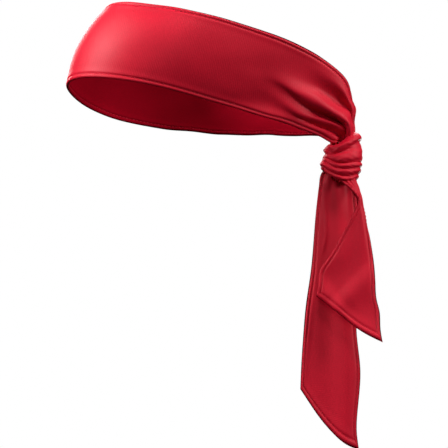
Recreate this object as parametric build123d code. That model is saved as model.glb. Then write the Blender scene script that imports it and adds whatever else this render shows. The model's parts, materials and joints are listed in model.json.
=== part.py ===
from build123d import *
from math import cos, pi, radians, sin
import os

# A sports headband: one long strip of double-layer stretch cloth, worn round the head and tied
# at the back with a single knot, below which its two ends hang as a long and a short tail.
#
# Frame: +X is the wearer's left, +Y is rearward (the knot's side), +Z is up, the forehead faces -Y.
# The origin is the centre of the head opening, in the plane of the loop's lower rim.
# Lengths are in millimetres and angles in degrees.

# ---- cloth ----
LAYER = 0.8                # thickness of one layer of cloth
LAYER_GAP = 0.3            # clear space between the outer and the inner layer
GATHERED_LAYER = 2.6       # thickness of the outer layer where it is gathered into the knot
THREAD_WIDTH = 0.6
THREAD_HEIGHT = 0.35
THREAD_LIFT = 0.2          # the thread lies this far off the cloth
STITCH_INSET = 2.8         # distance of the topstitch from the cloth's edge

# ---- loop ----
RIM_TILT = 11.5            # the lower rim's plane drops towards the knot
FRONT_BULGE = 6.5          # how far the band bows outward between its rims at the forehead
REAR_BULGE = 1.5           # the same beside the knot
STATIONS = 33              # cross-sections from one end of the loop to the other
GATHER_SHARE = 0.06        # the share of the loop's length, at each end, that is gathered
STITCH_MARGIN = 0.004      # the share of the loop's length, at each end, that has no topstitch

# Half of each rim, from the forehead to the knot: (sideways, rearward, above the lower rim's plane)
LOWER_RIM = [
    (0, -102, 0),
    (28, -99, 0),
    (55, -86, 0),
    (72, -62, 0),
    (75, -36, 0),
    (68, -8, 0),
    (52, 20, 0),
    (34, 50, 0),
    (18, 78.5, -0.8),
    (6.5, 101, 0.5),
]
UPPER_RIM = [
    (0, -86, 66),
    (30, -81, 65.5),
    (54, -63, 64),
    (68, -31, 61),
    (70, 0, 58.5),
    (60, 34, 56.5),
    (44, 64, 55),
    (24, 88, 52),
    (8.5, 106, 40),
    (4, 116, 12),
]

# ---- knot ----
KNOT_Y = 107               # the knot's centre line
KNOT_TOP = -20.5
KNOT_RINGS = [             # the wrap's outline: (depth below its top, half size in X, half size in Y)
    (0, 8.2, 9.8),
    (7, 11.2, 13.4),
    (16, 12.6, 15.2),
    (26, 12.2, 14.8),
    (33, 9.0, 11.0),
]
STRAND_HALF_X = 6.2        # the two strands inside the wrap together fill an ellipse
STRAND_HALF_Y = 7.7
STRAND_CLEARANCE = 0.3
KNOT_BOTTOM = KNOT_TOP - KNOT_RINGS[-1][0]

# ---- tails ----
SWING_DROP = 4.6           # the fore-and-aft hinge lies this far below the knot
NECK_TOP_RADIUS = 3.6      # the neck's rounded top, about that hinge
NECK_LENGTH = 21           # from the swing hinge down to the neck's lower edge
NECK_THICKNESS = 3.2
FLAP_DROP = 1.5            # the flap hinge lies this far below the neck's lower edge
BLADE_DROP = 0.5           # the blade starts this far below the flap hinge

SWING_Z = KNOT_BOTTOM - SWING_DROP
NECK_END_Z = SWING_Z - NECK_LENGTH
FLAP_Z = NECK_END_Z - FLAP_DROP
BLADE_TOP = FLAP_Z - BLADE_DROP

# Each tail hangs in a plane of constant X. Its corners are (Y, Z), and "centre" is the neck's Y.
LONG_TAIL = {
    "plane": -6.0,
    "centre": 98.0,
    "neck_foot": (87.5, 117.5),
    "forward_edge": [(87.5, BLADE_TOP), (80.5, -143), (76.5, -190), (75.5, -209)],
    "rear_edge": [(116.5, -250), (117.5, -205), (116, -165), (118.5, -120), (117.5, BLADE_TOP)],
}
SHORT_TAIL = {
    "plane": 6.0,
    "centre": 113.5,
    "neck_foot": (107.0, 123.0),
    "forward_edge": [(106.5, BLADE_TOP), (92, -121), (89, -142)],
    "rear_edge": [(135, -176), (131.5, -133), (123.5, BLADE_TOP)],
}


def ring_point(sideways, rearward, height):
    """A point measured in the lower rim's tilted plane, in the headband's frame."""
    tilt = radians(RIM_TILT)
    return Vector(
        sideways,
        rearward * cos(tilt) + height * sin(tilt),
        -rearward * sin(tilt) + height * cos(tilt),
    )


def rim_curve(half_rim):
    """A smooth curve from the right end at the knot, round the forehead, to the left end."""
    left = [ring_point(*point) for point in half_rim]
    right = [Vector(-point.X, point.Y, point.Z) for point in left[1:]]
    return Spline(*(right[::-1] + left))


lower_rim = rim_curve(LOWER_RIM)
upper_rim = rim_curve(UPPER_RIM)


def band_section(share):
    """The band's cross-section at a share of its length: its bowed line and its outward normal."""
    low = lower_rim @ share
    high = upper_rim @ share
    along = (lower_rim % share) + (upper_rim % share)
    outward = along.cross(high - low).normalized()
    bulge = REAR_BULGE + (FRONT_BULGE - REAR_BULGE) * sin(pi * share) ** 2
    bow = ThreePointArc(low, (low + high) * 0.5 + outward * bulge, high)
    return bow, outward


def gather_amount(share):
    """0 along the smooth band, rising gently to 1 at the two ends that enter the knot."""
    to_end = min(share, 1 - share, GATHER_SHARE)
    return (1 + cos(pi * to_end / GATHER_SHARE)) / 2


def layer_face(share, near, far):
    """A bowed cross-section of one layer, between two distances along the outward normal."""
    bow, outward = band_section(share)
    inside = bow.moved(Location(outward * near))
    outside = bow.moved(Location(outward * far))
    edges = [inside, outside, Line(inside @ 0, outside @ 0), Line(inside @ 1, outside @ 1)]
    return Face(Wire(edges))


def thread_face(share, inset, from_top):
    """The cross-section of a topstitch thread that lies on the outer layer."""
    bow, outward = band_section(share)
    place = inset / bow.length
    if from_top:
        place = 1 - place
    across = (bow % place) * (THREAD_WIDTH / 2)
    base = LAYER_GAP / 2 + LAYER + THREAD_LIFT
    base += gather_amount(share) * (GATHERED_LAYER - LAYER)
    foot = (bow @ place) + outward * base
    head = foot + outward * THREAD_HEIGHT
    return Face(Wire.make_polygon([foot - across, foot + across, head + across, head - across]))


def shares(margin=0.0):
    """The stations' places along the loop, as shares of its length."""
    span = 1 - 2 * margin
    return [margin + span * index / (STATIONS - 1) for index in range(STATIONS)]


def loop_outer_panel():
    faces = []
    for share in shares():
        thickness = LAYER + gather_amount(share) * (GATHERED_LAYER - LAYER)
        faces.append(layer_face(share, LAYER_GAP / 2, LAYER_GAP / 2 + thickness))
    return loft(faces)


def loop_inner_panel():
    return loft([layer_face(share, -LAYER_GAP / 2 - LAYER, -LAYER_GAP / 2) for share in shares()])


def loop_topstitch(from_top):
    return loft([thread_face(share, STITCH_INSET, from_top) for share in shares(STITCH_MARGIN)])


def strand_pocket(grow):
    """The elliptical column down the middle of the knot that both strands fill."""
    column = Ellipse(STRAND_HALF_X + grow, STRAND_HALF_Y + grow)
    return Plane((0, KNOT_Y, KNOT_TOP)) * column


def knot_wrap():
    rings = []
    for depth, half_x, half_y in KNOT_RINGS:
        rings.append(Plane((0, KNOT_Y, KNOT_TOP - depth)) * Ellipse(half_x, half_y))
    height = KNOT_TOP - KNOT_BOTTOM
    return loft(rings) - extrude(strand_pocket(STRAND_CLEARANCE), -height)


def knot_strand(side):
    """One half of the column inside the wrap: side is 1 for the left strand, -1 for the right."""
    half = Rectangle(STRAND_HALF_X * 2, STRAND_HALF_Y * 3)
    middle_gap = STRAND_CLEARANCE / 2
    half = Plane((side * (STRAND_HALF_X + middle_gap), KNOT_Y, KNOT_TOP)) * half
    return extrude(strand_pocket(0) & half, -(KNOT_TOP - KNOT_BOTTOM))


def side_plane(x):
    """A drawing plane across X, whose own axes are the headband's Y and Z."""
    return Plane(origin=(x, 0, 0), x_dir=(0, 1, 0), z_dir=(1, 0, 0))


def tail_neck(tail):
    """The gathered cloth between the knot and the blade, rounded about the swing hinge."""
    centre = tail["centre"]
    first, last = tail["neck_foot"]
    top = ThreePointArc(
        (centre - NECK_TOP_RADIUS, SWING_Z),
        (centre, SWING_Z + NECK_TOP_RADIUS),
        (centre + NECK_TOP_RADIUS, SWING_Z),
    )
    foot = Polyline(top @ 1, (last, NECK_END_Z), (first, NECK_END_Z), top @ 0)
    outline = side_plane(tail["plane"]) * make_face([top, foot])
    return extrude(outline, NECK_THICKNESS / 2, both=True)


def blade_outline(tail, x):
    corners = tail["forward_edge"] + tail["rear_edge"]
    return side_plane(x) * make_face(Polyline(*corners, close=True))


def tail_layer(tail, side):
    """One layer of the blade: side is 1 for the layer that faces +X, -1 for the other."""
    x = tail["plane"] + side * LAYER_GAP / 2
    return extrude(blade_outline(tail, x), side * LAYER)


def tail_topstitch(tail):
    """A thread all round the blade near its edge, on both faces."""
    threads = []
    for side in (1, -1):
        x = tail["plane"] + side * (LAYER_GAP / 2 + LAYER + THREAD_LIFT)
        outline = blade_outline(tail, x)
        outer = offset(outline, -STITCH_INSET, kind=Kind.INTERSECTION)
        inner = offset(outline, -STITCH_INSET - THREAD_WIDTH, kind=Kind.INTERSECTION)
        threads.append(extrude(outer - inner, side * THREAD_HEIGHT))
    return Compound(children=threads)


def single(shape):
    """The one solid in a shape."""
    return shape.solids()[0]


nodes = {
    "loop_outer_panel": single(loop_outer_panel()),
    "loop_inner_panel": single(loop_inner_panel()),
    "loop_upper_topstitch": single(loop_topstitch(True)),
    "loop_lower_topstitch": single(loop_topstitch(False)),
    "knot_wrap": single(knot_wrap()),
    "knot_left_strand": single(knot_strand(1)),
    "knot_right_strand": single(knot_strand(-1)),
}
for name, tail in (("long_tail", LONG_TAIL), ("short_tail", SHORT_TAIL)):
    nodes[name + "_neck"] = single(tail_neck(tail))
    nodes[name + "_left_layer"] = single(tail_layer(tail, 1))
    nodes[name + "_right_layer"] = single(tail_layer(tail, -1))
    nodes[name + "_topstitch"] = tail_topstitch(tail)

os.makedirs("parts", exist_ok=True)
for name, shape in nodes.items():
    export_step(shape, "parts/" + name + ".step")
print("swing hinges at Z %.1f, flap hinges at Z %.1f" % (SWING_Z, FLAP_Z))
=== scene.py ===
import json
from math import cos, pi, radians, sin

import bpy
import numpy as np
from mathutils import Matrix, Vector


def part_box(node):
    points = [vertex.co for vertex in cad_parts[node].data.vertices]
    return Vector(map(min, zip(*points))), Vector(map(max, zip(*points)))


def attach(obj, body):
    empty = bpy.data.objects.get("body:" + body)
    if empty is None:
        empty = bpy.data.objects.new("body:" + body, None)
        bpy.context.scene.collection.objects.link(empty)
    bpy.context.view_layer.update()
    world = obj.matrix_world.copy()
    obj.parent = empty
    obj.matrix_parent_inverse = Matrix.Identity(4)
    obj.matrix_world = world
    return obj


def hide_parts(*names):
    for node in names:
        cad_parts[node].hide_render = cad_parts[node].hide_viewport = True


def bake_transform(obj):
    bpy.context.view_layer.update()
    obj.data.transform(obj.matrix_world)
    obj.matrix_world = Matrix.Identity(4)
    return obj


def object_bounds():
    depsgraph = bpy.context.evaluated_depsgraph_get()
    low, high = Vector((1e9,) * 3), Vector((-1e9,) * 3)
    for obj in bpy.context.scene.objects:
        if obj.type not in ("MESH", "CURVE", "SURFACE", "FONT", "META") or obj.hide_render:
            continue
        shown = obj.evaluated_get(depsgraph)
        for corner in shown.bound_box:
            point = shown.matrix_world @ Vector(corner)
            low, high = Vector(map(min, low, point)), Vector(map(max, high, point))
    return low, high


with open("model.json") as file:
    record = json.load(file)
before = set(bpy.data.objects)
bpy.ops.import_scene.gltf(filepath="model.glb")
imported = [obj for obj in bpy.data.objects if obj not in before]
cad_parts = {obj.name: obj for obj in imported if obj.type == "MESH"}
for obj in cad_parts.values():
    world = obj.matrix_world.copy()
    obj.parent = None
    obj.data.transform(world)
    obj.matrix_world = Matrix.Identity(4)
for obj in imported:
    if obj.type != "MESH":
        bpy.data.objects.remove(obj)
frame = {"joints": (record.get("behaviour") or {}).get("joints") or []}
cad_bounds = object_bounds()

# The headband is one strip of double-layer stretch cloth. Every stretch of it is worked out here as a
# grid of points midway between its two layers, in millimetres, and each layer is a thin closed sheet
# that stands off that grid. Rows run along the strip, columns run across it.
# The points in LEFT_GATHER, WRAP_LINES, LONG_LINES and SHORT_LINES were worked out by helper programs from
# places picked on the photo and guessed depths, and some were changed by hand: report.md says how.

# ---- cloth, in millimetres ----
MM = 0.001
CLOTH = 0.42               # thickness of one layer
FLAT_OFFSET = 0.5          # the face of a layer lies this far from the middle of the strip
HEM_OFFSET = 1.15          # the same at the fattest of the turned edge
STITCH_OFFSET = 0.42       # the same where the topstitch pulls the layers together
HEM_ROUND = 1.25           # the turned edge reaches its full thickness this far in
STITCH_INSET = 2.9
STITCH_GROOVE = 0.75       # half the width of the groove that the topstitch pulls
HEM_FADE = 7.0             # the seam allowance inside thins out over this much
SEAM_ROLL = 0.42           # the under layer's edge lies this far out, and the upper layer's this far in
SEAM_FADE = 4.0            # the roll dies away over this much
NO_EDGE = 20.0             # an inset that is far from any turned edge
CALM_EDGE = 0.12           # wrinkles and pleats die away over this share of a strip's width
LEAST_OFFSET = 0.02        # the two layers' backs stay this far from the middle of the strip
STRIP_WIDTH = 62.0
# Distances from a turned edge where the mesh has its columns or rows
EDGE_STEPS = [0, 0.08, 0.25, 0.55, 0.9, 1.25, 1.7, 2.15, 2.5, 2.9, 3.3, 3.8, 4.6, 5.6, 7.0]
FINE_EDGE_WIDTH = 30.0     # a strip narrower than this has its edge steps drawn together

# ---- loop, as in the CAD ----
RIM_TILT = radians(11.5)
FRONT_BULGE = 6.5
REAR_BULGE = 1.5
LOWER_RIM = [
    (0, -102, 0), (28, -99, 0), (55, -86, 0), (72, -62, 0), (75, -36, 0), (68, -8, 0),
    (52, 20, 0), (34, 50, 0), (18, 78.5, -0.8), (6.5, 101, 0.5),
]
UPPER_RIM = [
    (0, -86, 66), (30, -81, 65.5), (54, -63, 64), (68, -31, 61), (70, 0, 58.5), (60, 34, 56.5),
    (44, 64, 55), (24, 88, 52), (8.5, 106, 40), (4, 116, 12),
]
# Past the CAD panel's end the cloth dives into the knot: world points, on the wearer's left
LOWER_INTO_KNOT = [(4.6, 103.5, -24), (4.0, 104.5, -34)]
UPPER_INTO_KNOT = [(3.4, 114.0, -20), (3.2, 111.5, -34)]
END = 1.08                 # the place along a half loop where the cloth ends inside the knot


# ======================================================================= curves

def cubic(knots, values, at):
    """A natural cubic spline through values at the rising knots, worked out at the places given."""
    knots, values = np.asarray(knots, float), np.asarray(values, float)
    count = len(knots)
    step = np.diff(knots)
    slope = (values[1:] - values[:-1]) / step.reshape((-1,) + (1,) * (values.ndim - 1))
    system = np.eye(count)
    right = np.zeros_like(values)
    for i in range(1, count - 1):
        system[i, i - 1] = step[i - 1]
        system[i, i] = 2 * (step[i - 1] + step[i])
        system[i, i + 1] = step[i]
        right[i] = 6 * (slope[i] - slope[i - 1])
    bend = np.linalg.solve(system, right.reshape(count, -1)).reshape(values.shape)
    at = np.asarray(at, float)
    i = np.clip(np.searchsorted(knots, at) - 1, 0, count - 2)
    shape = at.shape + (1,) * (values.ndim - 1)
    h = step[i].reshape(shape)
    left = ((knots[i + 1] - at).reshape(shape)) / h
    rest = 1 - left
    curve = left * values[i] + rest * values[i + 1]
    return curve + ((left**3 - left) * bend[i] + (rest**3 - rest) * bend[i + 1]) * h * h / 6


def chord_knots(points):
    """The distance along straight runs to each point."""
    return np.concatenate([[0], np.cumsum(np.linalg.norm(np.diff(points, axis=0), axis=1))])


def smooth_line(points, samples):
    """Points evenly spaced along a smooth curve through the given ones."""
    points = np.asarray(points, float)
    knots = chord_knots(points)
    dense = cubic(knots, points, np.linspace(0, knots[-1], 40 * len(points)))
    along = chord_knots(dense)
    at = np.linspace(0, along[-1], samples)
    return np.stack([np.interp(at, along, dense[:, k]) for k in range(3)], axis=1)


def smooth(x):
    """Rises gently from 0 to 1."""
    x = np.clip(x, 0, 1)
    return x * x * (3 - 2 * x)


def follow(pairs, at):
    """A smooth value along the strip, from a few (place, value) pairs."""
    places, values = zip(*pairs)
    places, values = np.array(places, float), np.array(values, float)
    at = np.clip(at, places[0], places[-1])
    i = np.clip(np.searchsorted(places, at) - 1, 0, len(places) - 2)
    share = smooth((at - places[i]) / (places[i + 1] - places[i]))
    return values[i] * (1 - share) + values[i + 1] * share


def unit(v):
    return v / np.maximum(np.linalg.norm(v, axis=-1, keepdims=True), 1e-9)


def ring_point(sideways, rearward, height):
    """A point measured in the lower rim's tilted plane, in the headband's frame."""
    return (
        sideways,
        rearward * cos(RIM_TILT) + height * sin(RIM_TILT),
        -rearward * sin(RIM_TILT) + height * cos(RIM_TILT),
    )


# ======================================================================= loop

def rim_table(half_rim, into_knot, samples=600):
    """Half of a rim from the forehead: evenly spaced points, and their places, 1 at the CAD panel's end."""
    left = [ring_point(*p) for p in half_rim] + list(into_knot)
    right = [(-x, y, z) for x, y, z in left[1:]]
    whole = smooth_line(right[::-1] + left, 2 * samples - 1)
    half = whole[samples - 1:]
    along = chord_knots(half)
    panel_end = np.array(ring_point(*half_rim[-1]))
    turn = along[np.argmin(np.linalg.norm(half - panel_end, axis=1))]
    places = np.where(along < turn, along / turn, 1 + (END - 1) * (along - turn) / (along[-1] - turn))
    return places, half


LOWER = rim_table(LOWER_RIM, LOWER_INTO_KNOT)
UPPER = rim_table(UPPER_RIM, UPPER_INTO_KNOT)


def on_rim(rim, place):
    """Points on a rim: place runs from -1 at the right end, through 0 at the forehead, to 1."""
    places, half = rim
    found = np.stack([np.interp(np.abs(place), places, half[:, k]) for k in range(3)], axis=-1)
    found[..., 0] *= np.sign(place) + (place == 0)
    return found


# Cross-sections of the band's left half where it is gathered into the knot. Each has its place along the
# half loop and, for the shares of the width above, the points where the middle of the band lies: the
# lower edge, its hem, a groove, a low ridge, a narrow valley, the high rolled ridge, a groove and the
# upper edge.
GATHER_SHARES = [0, 0.06, 0.13, 0.2, 0.28, 0.34, 0.4, 0.45, 0.54, 0.6, 0.68, 0.8, 0.94, 1.0]
LEFT_GATHER = [
    (0.8, [
        (31.8, 53, -11), (32.3, 55.5, -8.5), (31.6, 58.5, -5.5), (30.6, 62, -3), (30.8, 65.5, 0),
        (30.4, 68, 2.5), (29.4, 71, 5.5), (30, 72.5, 7), (30.6, 76, 8.5), (29, 78.5, 11.5), (26.4, 82, 16),
        (26, 88.5, 24.5), (24.6, 94.5, 30.5), (23.4, 96.5, 33.5),
    ]),
    (0.86, [
        (24, 67, -14), (24.7, 69.5, -11), (24.2, 72.5, -9.5), (22.6, 76.5, -9), (24, 78.5, -7.5),
        (23.2, 80.5, -4.5), (21.2, 83, -1), (23, 84.5, 0), (25, 88.5, 4), (22.4, 90.5, 7.5), (17.8, 94, 12),
        (18.6, 100.5, 18), (16.6, 106, 23.5), (14.4, 108.5, 26),
    ]),
    (0.91, [
        (17.2, 78.5, -17.5), (18.2, 80.5, -14.5), (17.6, 83, -13), (15, 85.5, -12.5), (17.8, 88, -10),
        (16.6, 90, -8), (13.8, 91.5, -4.5), (16.8, 94, -4), (19.2, 98.5, -1), (15.2, 100.5, 2),
        (9.6, 104, 6.5), (11.8, 110, 11), (9, 113, 14.5), (6.6, 115, 16.5),
    ]),
    (0.95, [
        (12.3, 88.5, -20.5), (13.4, 90.5, -18), (13.2, 92, -16), (10.2, 94, -15.5), (13.8, 97.5, -12),
        (11.8, 99, -10), (7.4, 100.5, -7), (11.8, 102, -7), (15.2, 106, -5.5), (10.6, 108, -2),
        (5.4, 111, 1.5), (7.6, 114.5, 3.5), (5.6, 115.5, 6), (3.4, 116.5, 6.5),
    ]),
    (0.98, [
        (9.2, 95.5, -23.5), (10.4, 97, -21), (10.4, 99, -19), (7.2, 100.5, -17), (11.4, 105, -14),
        (8.2, 105.5, -12), (3.4, 106, -9), (8.8, 107.5, -9.5), (13.2, 111.5, -9.5), (9, 113.5, -6.5),
        (3.6, 115.5, -3.5), (5.2, 116.5, -2), (3.4, 117.5, 0), (1.9, 117.5, 0),
    ]),
    (1, [
        (7.2, 101.5, -26.5), (8.2, 102.5, -24), (8.4, 103.5, -21.5), (5.8, 105, -18.5), (9.8, 109.5, -16.5),
        (6.2, 109.5, -13.5), (2.4, 109, -11), (7.4, 111, -12.5), (12, 114.5, -13), (7.4, 115, -11),
        (3.2, 116, -9), (3.6, 116.5, -8.5), (2.8, 116.5, -8), (1.8, 116, -8),
    ]),
    (1.02, [
        (5, 105, -25), (5.4, 105.5, -23.5), (5.2, 106, -22), (3.8, 106.5, -20), (7, 111, -18.5),
        (4.4, 110.5, -16.5), (1.7, 110, -14.5), (5.6, 111.5, -16), (9.8, 115, -18), (5.8, 116.5, -16),
        (2.8, 117, -15), (2.8, 117, -15), (2.2, 117, -15), (1.7, 116.5, -14.5),
    ]),
    (1.04, [
        (1.7, 106, -25), (2, 106, -24), (2, 106.5, -23.5), (1.7, 107, -22.5), (2.8, 109.5, -22),
        (2, 109.5, -21.5), (1.6, 110, -20.5), (4.4, 111.5, -22), (6.8, 114.5, -23), (4.2, 115, -22.5),
        (2.2, 115.5, -22.5), (2, 115.5, -23), (1.8, 115, -23), (1.7, 115, -23.5),
    ]),
    (1.08, [
        (1.6, 106, -32.5), (1.7, 107, -32.5), (1.7, 107.5, -33.5), (1.6, 108.5, -33.5), (2, 109, -33.5),
        (1.8, 109.5, -33.5), (1.6, 110, -33.5), (3.2, 111, -34), (4.4, 112, -35), (3, 112.5, -34.5),
        (2, 113, -34.5), (1.8, 113.5, -34.5), (1.7, 114, -34.5), (1.6, 114.5, -34.5),
    ]),
]
# Places where the cloth still lies as in the CAD
CALM_PLACES = [0.5, 0.6, 0.7]
# How far the upper edge, and the lower edge on the wearer's right, ride up, by the place along the half loop
UPPER_LIFT = [(0.28, 0), (0.4, 1.3), (0.52, 2.1), (0.64, 2.1), (0.76, 1.2), (0.86, 0)]
RIGHT_LOWER_LIFT = [
    (0.22, 0), (0.4, 1.7), (0.49, 2.9), (0.6, 1.7), (0.7, 0.9), (0.8, 2.2), (0.9, 3.0), (1.04, 0),
]
# The wearer's right side takes its gathers from this share of the left side's width. Below RIGHT_CALM_SHARE
# of its own width it loses RIGHT_CALM of them, up to the knot's mouth.
RIGHT_SHARE = 0.96
RIGHT_CALM = 0.85
RIGHT_CALM_SHARE = 0.4
MOUTH = 0.99               # the place where the band enters the knot, and how much further it is inside
MOUTH_RUN = 0.05
PLACE_STEP = 0.004         # a short step along the loop, for its direction
RIPPLE = 0.35
FINE_RIPPLE = 0.12


def plain_band(places, shares):
    """The band with no folds: straight across between the rims, and bowed outward."""
    place, share = np.meshgrid(places, shares, indexing="ij")
    low, high = on_rim(LOWER, place), on_rim(UPPER, place)
    ahead = on_rim(LOWER, place + PLACE_STEP) + on_rim(UPPER, place + PLACE_STEP)
    behind = on_rim(LOWER, place - PLACE_STEP) + on_rim(UPPER, place - PLACE_STEP)
    outward = unit(np.cross(ahead - behind, high - low))
    bulge = REAR_BULGE + (FRONT_BULGE - REAR_BULGE) * np.cos(np.minimum(np.abs(place), 1) * pi / 2) ** 2
    lift = 4 * bulge * share * (1 - share) + ripples(place, share)
    return low + (high - low) * share[..., None] + outward * lift[..., None]


def gather_shift(reaches, shares):
    """How far the gathers on the wearer's left move the band from its plain shape."""
    rows = np.array([place for place, _ in LEFT_GATHER])
    points = np.array([points for _, points in LEFT_GATHER], float)
    moved = points - plain_band(rows, np.array(GATHER_SHARES))
    calm = np.zeros((len(CALM_PLACES),) + moved.shape[1:])
    moved = np.concatenate([calm, moved])
    rows = np.concatenate([CALM_PLACES, rows])
    along = cubic(rows, moved, np.maximum(reaches, rows[0]))
    return cubic(GATHER_SHARES, along.transpose(1, 0, 2), shares).transpose(1, 0, 2)


def band_grid(places, shares):
    """The middle of the band at places along the loop and shares of the width."""
    grid = plain_band(places, shares)
    reaches = np.abs(places)
    left = gather_shift(reaches, shares)
    # The wearer's right side is gathered more gently, and its lower edge stays straight
    right = gather_shift(reaches, np.clip(0.5 + (shares - 0.5) * RIGHT_SHARE, 0, 1)) * (-1, 1, 1)
    outside = 1 - smooth((reaches - MOUTH) / MOUTH_RUN)
    calm = 1 - RIGHT_CALM * np.outer(outside, 1 - smooth(shares / RIGHT_CALM_SHARE))
    right = right * calm[..., None]
    gathered = (reaches > CALM_PLACES[0])[:, None, None]
    right_lift = np.where(places < 0, follow(RIGHT_LOWER_LIFT, reaches), 0)
    grid[..., 2] += np.outer(follow(UPPER_LIFT, reaches), shares) + np.outer(right_lift, (1 - shares) ** 2)
    return grid + gathered * np.where((places > 0)[:, None, None], left, right)


def ripples(place, share):
    """Very slight unevenness of cloth that is stretched round a head."""
    broad = RIPPLE * np.sin(9.0 * place + 1.3) * np.sin(5.0 * share + 2.0 * place)
    fine = FINE_RIPPLE * np.sin(31.0 * place + 4.0 * share) * np.sin(11.0 * share + 0.7)
    return broad + fine


# ======================================================================= cloth meshes

def grid_normals(grid):
    """The unit normal at each point of a grid of points."""
    down = np.gradient(grid, axis=0)
    across = np.gradient(grid, axis=1)
    return unit(np.cross(down, across))


def distances_across(grid):
    """The distance along each row to each of its points."""
    steps = np.linalg.norm(np.diff(grid, axis=1), axis=2)
    return np.concatenate([np.zeros((len(grid), 1)), np.cumsum(steps, axis=1)], axis=1)


def hem_offset(inset):
    """How far a layer's face stands off the middle of the strip, by the distance from the nearest edge."""
    rise = np.sqrt(np.clip(1 - (1 - np.minimum(inset, HEM_ROUND) / HEM_ROUND) ** 2, 0, 1))
    body = FLAT_OFFSET + (HEM_OFFSET - FLAT_OFFSET) * (1 - smooth((inset - HEM_ROUND) / HEM_FADE))
    groove = np.exp(-(((inset - STITCH_INSET) / STITCH_GROOVE) ** 2))
    pulled = body - (body - STITCH_OFFSET) * groove
    return CLOTH / 2 + (pulled - CLOTH / 2) * rise


def rolled(grid, reach, left=None, right=None, end=None):
    """The grid of a layer whose edges reach a little further out, or less far where reach is below 0. The
    seam is rolled over, so the under layer, in the inner knit whose darker colour is painted shade, shows as
    a thin dark line of painted shade past the edge of the upper one. left, right and end are the distances
    from those edges."""
    across = unit(np.gradient(grid, axis=1))
    down = unit(np.gradient(grid, axis=0))
    moved = np.zeros_like(grid)
    for inset, outward in ((left, -across), (right, across), (end, down)):
        if inset is not None:
            moved += outward * (reach * (1 - smooth(inset / SEAM_FADE)))[..., None]
    return grid + moved


def column_insets(width, inner):
    """Distances across the strip, fine beside both edges, with a number of even steps between."""
    near = np.array(EDGE_STEPS) * min(1.0, width / FINE_EDGE_WIDTH)
    middle = np.linspace(near[-1], width - near[-1], inner + 2)[1:-1]
    return np.concatenate([near, middle, width - near[::-1]])


def mesh_piece(name, points, faces, uv, material, broad=None, facing=None):
    """A mesh object from points in millimetres, with a UV in metres along the cloth. Its first faces, broad
    of them, are shaded smooth, and the rest, which are the cut edges of a layer, are flat. facing gives the
    direction that each point faces, for cloth that goes on without a break in the next piece."""
    mesh = bpy.data.meshes.new(name)
    mesh.from_pydata((points * MM).tolist(), [], faces)
    layer = mesh.uv_layers.new(name="cloth")
    corner = np.zeros(len(mesh.loops), np.int32)
    mesh.loops.foreach_get("vertex_index", corner)
    layer.data.foreach_set("uv", (uv[corner] * MM).astype(np.float32).ravel())
    smooth_count = len(faces) if broad is None else broad
    mesh.polygons.foreach_set("use_smooth", np.arange(len(faces)) < smooth_count)
    mesh.update()
    if facing is not None:
        flat = np.zeros(len(faces) * 3, np.float32)
        mesh.polygons.foreach_get("normal", flat)
        corner_facing = facing[corner]
        first_cut = broad * 4
        corner_facing[first_cut:] = np.repeat(flat.reshape(-1, 3), 4, axis=0)[first_cut:]
        mesh.normals_split_custom_set(corner_facing.tolist())
    mesh.materials.append(material)
    piece = bpy.data.objects.new(name, mesh)
    bpy.context.scene.collection.objects.link(piece)
    return piece


def grid_faces(rows, columns, start=0, flip=False, closed=False):
    """The quads of a grid of points; closed joins the last row to the first."""
    faces = []
    for i in range(rows if closed else rows - 1):
        below = (i + 1) % rows
        for j in range(columns - 1):
            quad = (
                start + i * columns + j,
                start + i * columns + j + 1,
                start + below * columns + j + 1,
                start + below * columns + j,
            )
            faces.append(quad if flip else quad[::-1])
    return faces


def cloth_layer(name, grid, insets, side, along, across, material, closed=False, part=None):
    """One layer of the strip as a thin closed sheet. side is 1 for the side that the grid's normals
    point to and -1 for the other. closed joins the last row to the first, and part is the run of rows
    that the piece covers."""
    normal = grid_normals(grid)
    if closed:
        wrapped = np.concatenate([grid[-2:-1], grid, grid[1:2]])
        normal = grid_normals(wrapped)[1:-1]
        grid, normal, insets, along, across = (a[:-1] for a in (grid, normal, insets, along, across))
    face = hem_offset(insets)
    back = np.maximum(face - CLOTH, LEAST_OFFSET)
    outer = grid + normal * (side * face)[..., None]
    inner = grid + normal * (side * back)[..., None]
    facing = None
    if part:
        facing = [grid_normals(outer)[part] * side, grid_normals(inner)[part] * -side]
        facing = np.concatenate(facing).reshape(-1, 3)
        outer, inner, along, across = (a[part] for a in (outer, inner, along, across))
    rows, columns = outer.shape[:2]
    points = np.concatenate([outer.reshape(-1, 3), inner.reshape(-1, 3)])
    half = rows * columns
    faces = grid_faces(rows, columns, 0, side < 0, closed)
    faces += grid_faces(rows, columns, half, side > 0, closed)
    broad = len(faces)
    rims = [[i * columns for i in range(rows)], [i * columns + columns - 1 for i in range(rows)][::-1]]
    if closed:
        rims = [rim + rim[:1] for rim in rims]
    else:
        rims += [[(rows - 1) * columns + j for j in range(columns)], list(range(columns))[::-1]]
    for rim in rims:
        for a, b in zip(rim, rim[1:]):
            quad = (a, b, b + half, a + half)
            faces.append(quad[::-1] if side > 0 else quad)
    uv = np.stack([along, across], axis=-1).reshape(-1, 2)
    return mesh_piece(name, points, faces, np.concatenate([uv, uv]), material, broad, facing)


STITCH_LENGTH = 2.5
STITCH_GAP = 0.45
STITCH_THICK = 0.2
STITCH_FLAT = 0.8          # a stitch is this much lower, and STITCH_BROAD wider, than a round one
STITCH_BROAD = 1.25
STITCH_SIDES = 6
# Cross-sections of one stitch: the share of its length, its fatness and its height
STITCH_SPANS = [
    (-0.5, 0.25, -0.16), (-0.32, 0.85, 0.05), (0, 1.0, 0.12), (0.32, 0.85, 0.05), (0.5, 0.25, -0.16),
]
STITCH_STEP = 0.2          # a short step along the line, for its direction


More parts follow.
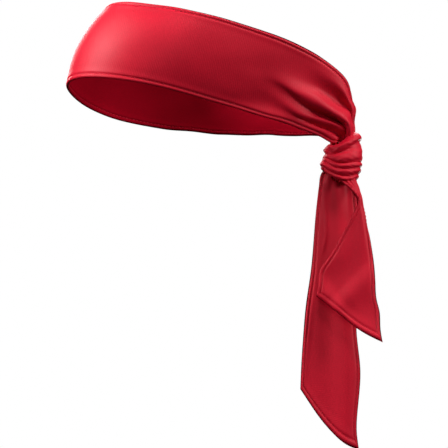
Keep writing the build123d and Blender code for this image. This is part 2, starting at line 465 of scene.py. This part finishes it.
def stitch_run(line, normal):
    """The stitches along a line of points: small rounded bars that dip at each end."""
    along = chord_knots(line)
    count = max(1, int(along[-1] / (STITCH_LENGTH + STITCH_GAP)))
    pitch = along[-1] / count

    def point_at(at, values=line):
        return np.array([np.interp(at, along, values[:, c]) for c in range(3)])

    ring = [(cos(t), sin(t)) for t in np.arange(STITCH_SIDES) * 2 * pi / STITCH_SIDES]
    points, faces = [], []
    for k in range(count):
        middle = (k + 0.5) * pitch
        first = len(points)
        for span, fat, rise in STITCH_SPANS:
            at = middle + span * (pitch - STITCH_GAP)
            p = point_at(at)
            n = unit(point_at(at, normal))
            sideways = unit(np.cross(n, point_at(at + STITCH_STEP) - point_at(at - STITCH_STEP)))
            thick = STITCH_THICK * fat
            for c, s in ring:
                points.append(
                    p + n * (rise + s * thick * STITCH_FLAT) + sideways * (c * thick * STITCH_BROAD))
        for m in range(len(STITCH_SPANS) - 1):
            for t in range(STITCH_SIDES):
                a = first + m * STITCH_SIDES + t
                b = first + m * STITCH_SIDES + (t + 1) % STITCH_SIDES
                faces.append((a, b, b + STITCH_SIDES, a + STITCH_SIDES))
        last = len(points) - STITCH_SIDES
        faces.append(tuple(first + t for t in range(STITCH_SIDES))[::-1])
        faces.append(tuple(last + t for t in range(STITCH_SIDES)))
    return points, faces


def stitches(name, runs, material):
    """One piece with the stitches of several lines."""
    points, faces = [], []
    for line, normal in runs:
        more, quads = stitch_run(line, normal)
        faces += [tuple(len(points) + v for v in quad) for quad in quads]
        points += more
    points = np.array(points)
    return mesh_piece(name, points, faces, points[:, :2], material)


# ======================================================================= materials

TWILL = 0.9                # the pitch that the ribs' scales are set for
RIB_SCALE = 314.0 / TWILL  # of the fine diagonal rib, and of the finer one that crosses it
CROSS_SCALE = 520.0 / TWILL
RIB_TURN = radians(97)     # the angle between the two
CROSS_SHARE = 0.35         # the crossing rib's share of the weave
CLOUD_SCALE = 38.0         # of the broad unevenness in the colour, and of the lint on the face
LINT_SCALE = 900.0
WEAVE_TONE = 0.3           # the shares of the weave and of the lint in the tone
LINT_TONE = 0.4
LINT_HEIGHT = 0.3          # the lint's share of the relief
RELIEF = 0.0002            # the height of the weave, in metres
RELIEF_STRENGTH = 0.35
TWIST_SCALE = 900.0        # of the thread's twist
THREAD_PLY_SHADE = (0.75, 0.7, 0.7)   # painted shade: how much darker the thread is painted between its plies


def new_material(name):
    material = bpy.data.materials.new(name)
    material.use_nodes = True
    return material, material.node_tree, material.node_tree.nodes["Principled BSDF"]


def add_node(tree, kind, **values):
    """A new shader node with the named inputs set; _ stands for a space."""
    node = tree.nodes.new("ShaderNode" + kind)
    for name, value in values.items():
        node.inputs[name.replace("_", " ")].default_value = value
    return node


def add_mix(tree, factor, first, second):
    """A mix of two outputs."""
    node = add_node(tree, "Mix")
    node.data_type = "FLOAT"
    node.inputs["Factor"].default_value = factor
    tree.links.new(first, node.inputs["A"])
    tree.links.new(second, node.inputs["B"])
    return node.outputs["Result"]


def colour_by(tree, amount, deep, colour, shader):
    """Gives the shader a colour between two, by an output."""
    node = add_node(tree, "Mix")
    node.data_type = "RGBA"
    node.inputs["A"].default_value = (*deep, 1)
    node.inputs["B"].default_value = (*colour, 1)
    tree.links.new(amount, node.inputs["Factor"])
    tree.links.new(node.outputs["Result"], shader.inputs["Base Color"])


def cloth_material(name, colour, deep, roughness, gloss):
    """Stretch knit with a fine diagonal rib, uneven in tone between a colour and a deeper one."""
    material, tree, shader = new_material(name)
    link = tree.links.new
    place = add_node(tree, "UVMap")
    place.uv_map = "cloth"
    turned = add_node(tree, "Mapping", Rotation=(0, 0, RIB_TURN))
    rib = add_node(tree, "TexWave", Scale=RIB_SCALE, Distortion=1.6, Detail=1.0, Detail_Scale=1.4)
    cross = add_node(tree, "TexWave", Scale=CROSS_SCALE, Distortion=2.2)
    rib.bands_direction = cross.bands_direction = "DIAGONAL"
    link(place.outputs["UV"], rib.inputs["Vector"])
    link(place.outputs["UV"], turned.inputs["Vector"])
    link(turned.outputs["Vector"], cross.inputs["Vector"])
    weave = add_mix(tree, CROSS_SHARE, rib.outputs["Fac"], cross.outputs["Fac"])
    where = add_node(tree, "TexCoord")
    cloud = add_node(tree, "TexNoise", Scale=CLOUD_SCALE, Detail=4.0)
    lint = add_node(tree, "TexNoise", Scale=LINT_SCALE, Detail=2.0)
    patches = add_node(tree, "MapRange", From_Min=0.30, From_Max=0.70)
    grain = add_node(tree, "MapRange", From_Min=0.32, From_Max=0.68)
    for texture, stretched in ((cloud, patches), (lint, grain)):
        link(where.outputs["Object"], texture.inputs["Vector"])
        link(texture.outputs["Fac"], stretched.inputs["Value"])
    mixed = add_mix(tree, WEAVE_TONE, patches.outputs["Result"], weave)
    speckled = add_mix(tree, LINT_TONE, mixed, grain.outputs["Result"])
    colour_by(tree, speckled, deep, colour, shader)
    rough = add_node(tree, "MapRange", To_Min=roughness + 0.08, To_Max=roughness - 0.06)
    link(weave, rough.inputs["Value"])
    link(rough.outputs["Result"], shader.inputs["Roughness"])
    bump = add_node(tree, "Bump", Strength=RELIEF_STRENGTH, Distance=RELIEF)
    link(add_mix(tree, LINT_HEIGHT, weave, lint.outputs["Fac"]), bump.inputs["Height"])
    link(bump.outputs["Normal"], shader.inputs["Normal"])
    shader.inputs["Specular IOR Level"].default_value = gloss
    return material


def thread_material(name, colour):
    """Twisted polyester thread, painted darker between its plies as painted shade."""
    material, tree, shader = new_material(name)
    where = add_node(tree, "TexCoord")
    twist = add_node(tree, "TexWave", Scale=TWIST_SCALE)
    twist.bands_direction = "DIAGONAL"
    tree.links.new(where.outputs["Object"], twist.inputs["Vector"])
    # painted shade: the thread's colour is darkened between its plies
    hollow = [part * share for part, share in zip(colour, THREAD_PLY_SHADE)]
    colour_by(tree, twist.outputs["Fac"], hollow, colour, shader)
    shader.inputs["Roughness"].default_value = 0.5
    shader.inputs["Specular IOR Level"].default_value = 0.2
    return material


OUTER = cloth_material("outer_knit", (0.70, 0.0050, 0.027), (0.54, 0.0036, 0.021), 0.52, 0.20)
# The inner knit is the outer knit made darker and matt. Its deeper colour is painted shade: for the shade
# inside the loop, on the tails' right faces and along the rolled seams.
INNER_KNIT_PAINTED_SHADE = cloth_material("inner_knit_painted_shade", (0.31, 0.0008, 0.010), (0.26, 0.0006, 0.008), 0.80, 0.02)
THREAD = thread_material("thread", (0.60, 0.008, 0.030))


# ======================================================================= making the loop

def half_places():
    """Places along half the loop, closer together where the folds are."""
    return np.concatenate([
        np.arange(0.0, 0.6, 0.0125),
        np.arange(0.6, 0.88, 0.007),
        np.arange(0.88, END, 0.0032),
        [END],
    ])


HALF_LOOP = 270.0          # the length of cloth from the forehead to place 1
BAND_COLUMNS = 36
STITCH_COLUMN = EDGE_STEPS.index(STITCH_INSET)
STITCHED_REACH = 1.01      # the topstitch ends here, where the band goes into the knot


def make_loop():
    half = half_places()
    places = np.concatenate([-half[:0:-1], half])
    insets = column_insets(STRIP_WIDTH, BAND_COLUMNS)
    place, inset = np.meshgrid(places, insets, indexing="ij")
    grid = band_grid(places, insets / STRIP_WIDTH)
    nearest = np.minimum(inset, STRIP_WIDTH - inset)
    along, across = place * HALF_LOOP, inset
    upper = rolled(grid, -SEAM_ROLL, right=STRIP_WIDTH - inset)
    under = rolled(grid, SEAM_ROLL, right=STRIP_WIDTH - inset)
    outer = cloth_layer("band_outer_layer", upper, nearest, 1, along, across, OUTER)
    # The inner layer takes the inner knit, whose darker colour is painted shade.
    inner = cloth_layer("band_inner_layer", under, nearest, -1, along, across, INNER_KNIT_PAINTED_SHADE)
    normal = grid_normals(grid)
    seen = np.abs(places) < STITCHED_REACH
    face = hem_offset(np.array(STITCH_INSET))
    made = {}
    for name, column in (("lower", STITCH_COLUMN), ("upper", -1 - STITCH_COLUMN)):
        runs = []
        for side in (1, -1):
            line = grid[seen, column] + normal[seen, column] * side * face
            runs.append((line, normal[seen, column] * side))
        made[name] = stitches("band_" + name + "_topstitch", runs, THREAD)
    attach(outer, "loop")
    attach(inner, "loop")
    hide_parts("loop_outer_panel")
    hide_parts("loop_inner_panel")
    for name, piece in made.items():
        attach(piece, "loop")
        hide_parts("loop_" + name + "_topstitch")


# ======================================================================= knot

knot_low, knot_high = (np.array(corner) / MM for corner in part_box("knot_wrap"))
KNOT = (knot_low + knot_high) / 2

# The wrap's lines, from its hidden upper edge over the top and down to its hidden lower edge: how far
# each lies forward, to the wearer's left and rearward of the knot's middle, and its heights there.
WRAP_LINES = [
    (5, 4.5, 7, 6, 4.5, 5.5),
    (6, 6.2, 9, 9.5, 8.5, 16.5),
    (8, 8.5, 11.5, 11, 8.8, 19.5),
    (9.5, 12.4, 15.5, 10, 7.2, 16),
    (11, 12.2, 13.8, 8.5, 4, 13.6),
    (12.2, 11.2, 14.5, 7, 1.4, 10.5),
    (10.8, 13.2, 15.5, 5, -1, 4.5),
    (11.5, 13.5, 15.5, 3, -4.3, -0.5),
    (12.5, 11.6, 14.5, 1.5, -6, -3),
    (13, 13.4, 15.5, 0, -8, -5),
    (13.5, 11.8, 14, -1.5, -10, -7),
    (15, 13.2, 14.4, -3.5, -12.5, -9.6),
    (13.8, 11.1, 12.5, -5, -15, -12),
    (14, 12.4, 12.5, -6.5, -17, -14.5),
    (11.5, 10, 9, -9, -18, -16.5),
    (8, 7, 7, -8, -16, -14),
    (5, 4.5, 6.5, -2, -7.5, -6),
]
WRINKLE = -0.5             # the wrinkles' height, inward
FINE_WRINKLE = 0.10
WRAP_ROWS = 180
WRAP_COLUMNS = 150
WRAP_RADIUS = 13.5         # the mean, for the run of the weave round the knot


def round_knot(turn, forward, left, rearward):
    """A value that changes smoothly round the knot, from what it is on three sides. On the wearer's
    right it is midway between the left value and the mean of the other two."""
    ends = (forward + rearward) / 2
    right = (left + ends) / 2
    mean = (left + right) / 4 + ends / 2
    twice = (left + right) / 4 - ends / 2
    return (mean + (left - right) / 2 * np.cos(turn) + (rearward - forward) / 2 * np.sin(turn)
            + twice * np.cos(2 * turn))


def knot_wrinkles(turn, share):
    """Slanting wrinkles of the cloth that is pulled tight round the knot: round crests, sharp creases."""
    phase = 8.5 * share + 0.5 * np.sin(turn + 0.6) + 0.3 * np.sin(3 * turn + 5 * share)
    crest = np.sqrt(np.sin(pi * phase) ** 2 + 0.03)
    fine = np.sin(2 * pi * (19 * share + 0.7 * np.sin(2 * turn + 1.0) + 0.4 * np.sin(5 * turn)))
    where = 0.45 + 0.55 * np.sin(turn * 1.0 + 7 * share + 0.4) ** 2
    calm = smooth(np.minimum(share, 1 - share) / CALM_EDGE)
    return (WRINKLE * crest * where + FINE_WRINKLE * fine) * calm


def make_wrap():
    turn = np.linspace(0, 2 * pi, WRAP_ROWS + 1)
    lines = []
    for forward, left, rearward, *heights in WRAP_LINES:
        radius = round_knot(turn, forward, left, rearward)
        lines.append(np.stack([
            KNOT[0] + radius * np.cos(turn),
            KNOT[1] + radius * np.sin(turn),
            KNOT[2] + round_knot(turn, *heights),
        ], axis=-1))
    knots = np.linspace(0, 1, len(lines))
    shares = np.linspace(0, 1, WRAP_COLUMNS)
    grid = cubic(knots, np.stack(lines), shares).transpose(1, 0, 2)
    grid = grid + grid_normals(grid) * knot_wrinkles(turn[:, None], shares[None, :])[..., None]
    grid[-1] = grid[0]
    across = distances_across(grid)
    along = np.repeat(turn[:, None], WRAP_COLUMNS, axis=1) * WRAP_RADIUS
    insets = np.full_like(along, NO_EDGE)
    wrap = cloth_layer("knot_outer_wrap", grid, insets, -1, along, across, OUTER, closed=True)
    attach(wrap, "loop")
    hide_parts("knot_wrap")


BUNDLE_ROWS = 60
BUNDLE_COLUMNS = 140
BUNDLE_ASIDE = 4.0         # the bundle's middle lies this far from the knot's
BUNDLE_DEPTH = 14.5        # from its front to its back
BUNDLE_FOLD = 1.9          # half the height of its pleats
BUNDLE_PLEATS = 4.5
BUNDLE_SQUEEZE = 0.18      # the share by which the knot draws its waist in
BUNDLE_TOP_DROP = 3.0      # its top lies this far below the knot's
BUNDLE_FOOT_RISE = 1.0     # its foot lies this far above the knot's, at its edges
BUNDLE_SAG = 2.0           # its middle hangs this far below its edges
BUNDLE_LENGTH = 34.0       # for the run of the weave


def make_bundle(name, side, node):
    """The gathered strip inside the knot: pleated like a closed fan."""
    down, over = np.meshgrid(
        np.linspace(0, 1, BUNDLE_ROWS), np.linspace(0, 1, BUNDLE_COLUMNS), indexing="ij")
    depth = BUNDLE_FOLD * np.sin(over * 2 * BUNDLE_PLEATS * pi + 1.5 * down)
    squeeze = 1 - BUNDLE_SQUEEZE * np.sin(down * pi)
    height = knot_high[2] - knot_low[2] - BUNDLE_TOP_DROP - BUNDLE_FOOT_RISE
    grid = np.stack([
        KNOT[0] + side * BUNDLE_ASIDE + depth * squeeze,
        KNOT[1] + (over - 0.5) * BUNDLE_DEPTH * squeeze,
        knot_high[2] - BUNDLE_TOP_DROP - down * height - BUNDLE_SAG * np.sin(over * pi),
    ], axis=-1)
    across = distances_across(grid)
    insets = np.full_like(across, NO_EDGE)
    piece = cloth_layer(name, grid, insets, 1, down * BUNDLE_LENGTH, across, OUTER)
    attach(piece, "loop")
    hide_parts(node)


# ======================================================================= tails

# Lines down each tail from inside the knot to its slanted end, from the forward edge to the rear edge:
# points (x, y, z). The end of each line lies on the slanted end.
LONG_LINES = [
    [(-3, 98.9, -40.5), (-5.5, 93.7, -44.5), (-7.5, 90.5, -52.5), (-8.2, 89, -63.5), (-8.2, 87.5, -76.5),
     (-6.6, 85.7, -99.5), (-5, 83.3, -124), (-3.6, 80.2, -145), (-2.6, 77.8, -169.5), (-2.2, 76.1, -192),
     (-2, 75.3, -209)],
    [(-2.5, 100.4, -40.5), (-4, 97.2, -45.5), (-4.4, 95, -54), (-4.3, 95, -71.5), (-4.3, 95, -89),
     (-4.4, 92.2, -105.5), (-4.4, 88.8, -118.5), (-3.8, 85.6, -138), (-3.2, 83.1, -166),
     (-3, 81.4, -192), (-2.8, 80.1, -216.5)],
    [(-2, 102.7, -41), (-2.6, 100.4, -47.5), (-4, 99, -54.5), (-4.8, 98.6, -72.5), (-4.8, 98.6, -89.5),
     (-4.8, 95.8, -106), (-4.6, 92.4, -119), (-4.2, 90.2, -138), (-4, 89.1, -166.5), (-4, 88.8, -196),
     (-4, 88.1, -228.5)],
    [(-4, 107.1, -40.5), (-4.4, 105, -47), (-4.6, 104, -53.5), (-4.6, 103.8, -71), (-4.6, 103.4, -88.5),
     (-4.7, 101.6, -105.5), (-5, 99.8, -121.5), (-5.6, 98.9, -144), (-5.2, 98.5, -174),
     (-5.2, 99, -203.5), (-5.4, 98.5, -241)],
    [(-5, 111.5, -40.5), (-6.4, 110.9, -47), (-7.4, 111.1, -54), (-7.6, 111.6, -71), (-6.4, 112.1, -88.5),
     (-5.8, 111.9, -105.5), (-5.6, 110.9, -129), (-5.6, 109.9, -159.5), (-5.4, 110, -189),
     (-6, 109.9, -218.5), (-6.6, 108.7, -249.5)],
    [(-6, 115.2, -40.5), (-8, 115.7, -48.5), (-9, 117.4, -57.5), (-9.6, 118.6, -71), (-9.6, 119.7, -89),
     (-9.2, 119.2, -110), (-9.2, 117.7, -136.5), (-9.6, 116.2, -166.5), (-9.8, 117.5, -181.5),
     (-10, 118.5, -196), (-10.2, 117.8, -208.5), (-10, 116.1, -224), (-10, 115.2, -240),
     (-10, 116.5, -252.5)],
]
SHORT_LINES = [
    [(2.5, 101.5, -42), (6, 104, -49.5), (9, 106.7, -55), (10, 109.6, -58), (10, 113.7, -61.5),
     (9, 117.9, -66.5), (7.5, 119.8, -69.5), (7.2, 120.1, -72), (7.4, 118.2, -77), (7.6, 112.5, -87.5),
     (7.2, 106.4, -98.5), (6.8, 102.3, -106), (6.4, 96.1, -115), (6.2, 91.7, -121), (6.4, 90.3, -128),
     (6.6, 89.8, -134.5), (6.2, 88.1, -141)],
    [(3, 105.3, -42), (7.5, 108.5, -50), (9.5, 111.2, -55.5), (9, 114.4, -59), (8.2, 117.7, -62),
     (6.8, 120.1, -67), (6.2, 121.1, -71), (6.4, 120.7, -76), (7, 118.4, -83), (7.6, 113.9, -93.5),
     (8.4, 109.3, -104), (8.6, 104.8, -115), (7.6, 101.3, -125.5), (7.8, 100.1, -135), (8.4, 99.6, -143),
     (6.6, 98, -149)],
    [(3, 109.8, -42), (7, 112.6, -50), (8, 114.8, -55.5), (7.2, 117.3, -59.5), (6.4, 119.4, -63),
     (5.8, 121.1, -67.5), (5.6, 121.7, -71.5), (6.6, 121.8, -76.5), (7.3, 120.9, -84), (8, 118.6, -95),
     (8.4, 115.8, -107.5), (8.4, 113.4, -118.5), (8.4, 111.9, -129.5), (8, 110.3, -139),
     (6.4, 109.3, -148.5), (6.2, 108.5, -158)],
    [(2.5, 113.5, -42), (5.5, 115.8, -50), (6, 117.6, -55), (5.4, 119.4, -59), (5, 120.8, -63),
     (4.8, 121.9, -67.5), (4.8, 122.4, -71.5), (6.2, 123, -77.5), (7.2, 123.4, -85.5), (8, 123.3, -97),
     (8.4, 122.7, -110.5), (8.2, 121.9, -122.5), (7.4, 121.3, -133), (6, 120.7, -146),
     (5.8, 120.5, -157.5), (6.4, 120.4, -167.5)],
    [(2, 115.5, -42), (3, 116.9, -49.5), (3, 117.7, -54.5), (3, 118.4, -58.5), (3, 119, -63),
     (3.2, 120.2, -67), (3.3, 121.4, -71), (3.8, 123.5, -78.5), (4.4, 125.6, -87.5), (4.9, 127.6, -96.5),
     (5, 129, -105.5), (5, 130.2, -115), (4.8, 131.4, -133), (4.8, 132.1, -145), (4.6, 134, -153.5),
     (5, 134.4, -165), (6.5, 135.9, -176)],
]
# Each tail's shallow pleats below the knot (their number, height and lowest place), whether the seam of its
# forward edge is rolled over, and its pressed crease (heights and places rearward) or slanting fold (places
# rearward and up, and the depth of its hollow and its crest)
TAILS = {
    "long": {"lines": LONG_LINES, "pleats": 4.5, "pleat_height": 0.25, "pleat_end": -76,
             "rolled_forward": True,
             "crease": [(-110, 91.9), (-95, 95.1), (-80, 95.3), (-65, 94), (-52, 93.4)]},
    "short": {"lines": SHORT_LINES, "pleats": 4.0, "pleat_height": 0.7, "pleat_end": -84,
              "rolled_forward": False,
              "fold": (118, -128, -2.8, 0.2)},
}
PLEAT_ROOM = 30.0          # pleats are lower where the tail is narrower than this
PLEAT_TOP_DROP = 12.0      # the pleats are at their full height this far below the knot's middle
SLANT_START = 0.30         # the rows turn from level to the end's slant, from this share of the way down
SLANT_RUN = 0.62
CREASE_HEIGHT = 0.5
CREASE_SPREAD = 1.1
CREASE_FADE = 8.0          # the crease dies away over this much at each end
FOLD_LEAN = 0.7            # a slanting fold runs at 45 degrees
HOLLOW_RISE = 4.0          # its hollow lies this far above it, and spreads this far up and down
HOLLOW_SPREADS = (20.0, 7.5)
CREST_DROP = 7.0
CREST_SPREAD = 6.0
TAIL_RUN = 200.0           # a tail's length, for the run of the weave
ROW_STEP = 1.4
TAIL_COLUMNS = 34
SPLIT_BELOW_SWING = 12.0   # each tail is cut into two pieces this far below its swing hinge


def tail_rows(lines):
    """Row shares from the knot to the slanted end, fine beside the end, with their distance from it."""
    start, finish = np.array(lines[0][0]), np.array(lines[0][-1])
    slant = unit(np.array(lines[-1][-1], float) - finish)
    lean = np.linalg.norm(np.cross(slant, (0, 0, -1)))
    length = start[2] - finish[2]
    ends = np.array([step / lean for step in EDGE_STEPS])
    body = np.linspace(0, length - ends[-1], int(length / ROW_STEP))[:-1]
    return np.concatenate([body, length - ends[::-1]]) / length, lean * length


def tail_grid(tail):
    lines = [np.array(line, float) for line in tail["lines"]]
    shares, run = tail_rows(tail["lines"])
    top = lines[0][0, 2]
    mean_end = np.mean([line[-1, 2] for line in lines])
    slant = smooth((shares - SLANT_START) / SLANT_RUN)
    tracks = []
    for line in lines:
        level = top + shares * (mean_end - top)
        own = top + shares * (line[-1, 2] - top)
        z = level + (own - level) * slant
        tracks.append(np.concatenate([cubic(-line[:, 2], line[:, :2], -z), z[:, None]], axis=1))
    tracks = np.stack(tracks, axis=1)
    rows = []
    insets = []
    for row in tracks:
        knots = chord_knots(row)
        dense = cubic(knots, row, np.linspace(0, knots[-1], 160))
        along = chord_knots(dense)
        at = column_insets(along[-1], TAIL_COLUMNS)
        rows.append(np.stack([np.interp(at, along, dense[:, k]) for k in range(3)], axis=1))
        insets.append(at)
    grid, insets = np.stack(rows), np.stack(insets)
    widths = insets[:, -1:]
    share = insets / widths
    fade = smooth((grid[..., 2] - tail["pleat_end"]) / (KNOT[2] - PLEAT_TOP_DROP - tail["pleat_end"]))
    edge = smooth(np.minimum(share, 1 - share) / CALM_EDGE)
    room = smooth(widths / PLEAT_ROOM)
    pleat = tail["pleat_height"] * fade * edge * room * np.sin(2 * pi * tail["pleats"] * share + 0.6)
    grid = grid + grid_normals(grid) * pleat[..., None]
    if "crease" in tail:
        grid[..., 0] += pressed_crease(grid, *zip(*tail["crease"]))
    if "fold" in tail:
        grid[..., 0] += slanting_fold(grid, *tail["fold"])
    from_end = (1 - shares)[:, None] * run + 0 * insets
    edges = (insets if tail["rolled_forward"] else None, widths - insets, from_end)
    layers = {1: rolled(grid, -SEAM_ROLL, *edges), -1: rolled(grid, SEAM_ROLL, *edges)}
    return grid, layers, insets, np.minimum(np.minimum(insets, widths - insets), from_end), shares


def pressed_crease(grid, heights, rearward):
    """How far to the wearer's left a fine pressed crease, that runs down the cloth, raises it."""
    middle = np.interp(grid[..., 2], heights, rearward)
    foot = smooth((grid[..., 2] - heights[0]) / CREASE_FADE)
    ends = foot * smooth((heights[-1] - grid[..., 2]) / CREASE_FADE)
    return CREASE_HEIGHT * ends * np.exp(-(((grid[..., 1] - middle) / CREASE_SPREAD) ** 2))


def slanting_fold(grid, rearward, height, hollow, crest):
    """How far to the wearer's left a soft slanting fold moves the cloth: a hollow above, a crest below."""
    above = ((grid[..., 2] - height) - (grid[..., 1] - rearward)) * FOLD_LEAN
    spread = np.where(above > HOLLOW_RISE, *HOLLOW_SPREADS)
    dip = hollow * np.exp(-(((above - HOLLOW_RISE) / spread) ** 2))
    return dip + crest * np.exp(-(((above + CREST_DROP) / CREST_SPREAD) ** 2))


def joint_point(name):
    found = [joint for joint in frame["joints"] if joint["name"] == name][0]
    return np.array(found["pos_m"]) / MM


def make_tail(which):
    tail = TAILS[which]
    grid, layers, insets, nearest, shares = tail_grid(tail)
    normal = grid_normals(grid)
    outward = 1 if normal[len(grid) // 2, grid.shape[1] // 2, 0] > 0 else -1
    swing, flap = joint_point(which + "_tail_swing"), joint_point(which + "_tail_flap")
    split = int(np.argmin(np.abs(grid[:, grid.shape[1] // 2, 2] - (swing[2] - SPLIT_BELOW_SWING))))
    along = np.repeat((shares * TAIL_RUN)[:, None], grid.shape[1], axis=1)
    bodies = (("neck", slice(0, split + 1), "loop", which + "_neck", swing),
              ("blade", slice(split, None), which + "_neck", which + "_blade", flap))
    for part, rows, first, second, hinge in bodies:
        for side, word in ((1, "left"), (-1, "right")):
            name = which + "_tail_" + part + "_" + word + "_layer"
            # The right layer takes the inner knit, whose darker colour is painted shade.
            material = OUTER if side > 0 else INNER_KNIT_PAINTED_SHADE
            piece = cloth_layer(
                name, layers[side], nearest, side * outward, along, insets, material, part=rows)
            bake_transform(piece)
        runs = tail_stitch_runs(grid, normal, nearest, rows, part == "blade")
        thread = stitches(which + "_tail_" + part + "_topstitch", runs, THREAD)
        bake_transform(thread)
        if part == "neck":
            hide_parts(which + "_tail_neck")
        else:
            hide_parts(which + "_tail_left_layer")
            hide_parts(which + "_tail_right_layer")
            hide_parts(which + "_tail_topstitch")


def tail_stitch_runs(grid, normal, nearest, rows, with_end):
    """The lines of topstitch on both faces: down both edges, and along the slanted end."""
    last = len(grid) - 1 - STITCH_COLUMN
    picked = np.arange(len(grid))[rows]
    picked = picked[picked <= last]
    columns = grid.shape[1]
    runs = []
    for side in (1, -1):
        face = grid + normal * (side * hem_offset(nearest))[..., None]
        for column in (STITCH_COLUMN, columns - 1 - STITCH_COLUMN):
            runs.append((face[picked, column], normal[picked, column] * side))
        if with_end:
            end = slice(STITCH_COLUMN, columns - STITCH_COLUMN)
            runs.append((face[last, end], normal[last, end] * side))
    return runs


# ======================================================================= floor, lights and camera

def floor_material():
    """A matt floor whose paleness is nearly all its own glow, so that it stays pale far from the lamps."""
    material, _, shader = new_material("pale_floor")
    shader.inputs["Base Color"].default_value = (0.1, 0.1, 0.1, 1)
    shader.inputs["Roughness"].default_value = 0.9
    shader.inputs["Emission Color"].default_value = (1, 1, 1, 1)
    shader.inputs["Emission Strength"].default_value = 0.9
    return material


def make_floor(height, half):
    mesh = bpy.data.meshes.new("floor")
    corners = [(-half, -half, height), (half, -half, height), (half, half, height), (-half, half, height)]
    mesh.from_pydata(corners, [], [(0, 1, 2, 3)])
    mesh.materials.append(floor_material())
    floor = bpy.data.objects.new("floor", mesh)
    bpy.context.scene.collection.objects.link(floor)
    floor.visible_diffuse = False
    floor.visible_glossy = False


def make_lamp(name, place, aim, size, power):
    light = bpy.data.lights.new(name, "AREA")
    light.shape = "DISK"
    light.size = size
    light.energy = power
    lamp = bpy.data.objects.new(name, light)
    lamp.location = place
    lamp.rotation_euler = (Vector(aim) - Vector(place)).to_track_quat("-Z", "Y").to_euler()
    bpy.context.scene.collection.objects.link(lamp)


def make_world(ambient):
    """A white backdrop whose light on the object is softer than it looks."""
    world = bpy.data.worlds.new("studio")
    bpy.context.scene.world = world
    world.use_nodes = True
    tree = world.node_tree
    tree.nodes.clear()
    seen = tree.nodes.new("ShaderNodeBackground")
    seen.inputs["Color"].default_value = (1, 1, 1, 1)
    given = tree.nodes.new("ShaderNodeBackground")
    given.inputs["Color"].default_value = (1, 1, 1, 1)
    given.inputs["Strength"].default_value = ambient
    ray = tree.nodes.new("ShaderNodeLightPath")
    choose = tree.nodes.new("ShaderNodeMixShader")
    out = tree.nodes.new("ShaderNodeOutputWorld")
    tree.links.new(ray.outputs["Is Camera Ray"], choose.inputs["Fac"])
    tree.links.new(given.outputs["Background"], choose.inputs[1])
    tree.links.new(seen.outputs["Background"], choose.inputs[2])
    tree.links.new(choose.outputs["Shader"], out.inputs["Surface"])


FLOOR_HEIGHT = -0.95
FLOOR_HALF = 40.0
AMBIENT = 0.03
# Each lamp's name, its place, the point it is aimed at, its diameter and its power in watts. The first seven
# light the wearer's left, and the last three the right.
LAMPS = [
    ("key", (0.37, -0.82, 0.68), (0, 0, 0), 0.3, 8.9),
    ("brow", (0.28, -0.95, 0.57), (0, 0, 0), 0.3, 4.4),
    ("front", (0.75, -0.98, 0.38), (0, 0, -0.03), 0.3, 4.9),
    ("side", (1.70, 0.10, 0.30), (0, 0, -0.03), 0.4, 3),
    ("over", (0.62, 0.20, 0.85), (0, 0, 0), 0.25, 3.9),
    ("rear", (0.40, 1.65, 0.45), (0, 0, -0.03), 0.3, 13),
    ("rear_top", (0.20, 0.80, 0.82), (0, 0, 0), 0.2, 4.8),
    ("right_front", (-1.45, -0.75, 0.80), (0, 0, -0.03), 0.5, 12),
    ("right_over", (-1.20, 0.25, 1.30), (0, 0, -0.03), 0.5, 14),
    ("right_side", (-1.65, 0.30, 0.10), (0, 0, -0.06), 0.5, 9),
]

CAMERA_AZIMUTH = radians(98)
CAMERA_ELEVATION = radians(-11)
CAMERA_DISTANCE = 1.263
CAMERA_LENS = 135
CAMERA_SENSOR = 36
CAMERA_SHIFT = Vector((0, 0.0018, -0.0005))   # the point looked at, from the middle of the CAD model's box


def make_camera():
    data = bpy.data.cameras.new("camera")
    data.lens = CAMERA_LENS
    data.sensor_width = CAMERA_SENSOR
    camera = bpy.data.objects.new("camera", data)
    low, high = cad_bounds
    target = (low + high) / 2 + CAMERA_SHIFT
    flat = cos(CAMERA_ELEVATION)
    back = Vector((sin(CAMERA_AZIMUTH) * flat, -cos(CAMERA_AZIMUTH) * flat, sin(CAMERA_ELEVATION)))
    camera.location = target + back * CAMERA_DISTANCE
    camera.rotation_euler = (-back).to_track_quat("-Z", "Y").to_euler()
    bpy.context.scene.collection.objects.link(camera)
    bpy.context.scene.camera = camera


make_loop()
make_wrap()
make_bundle("knot_left_bundle", 1, "knot_left_strand")
make_bundle("knot_right_bundle", -1, "knot_right_strand")
make_tail("long")
make_tail("short")
make_camera()
make_floor(FLOOR_HEIGHT, FLOOR_HALF)
make_world(AMBIENT)
for lamp in LAMPS:
    make_lamp(*lamp)
bpy.context.scene.view_settings.view_transform = "Standard"
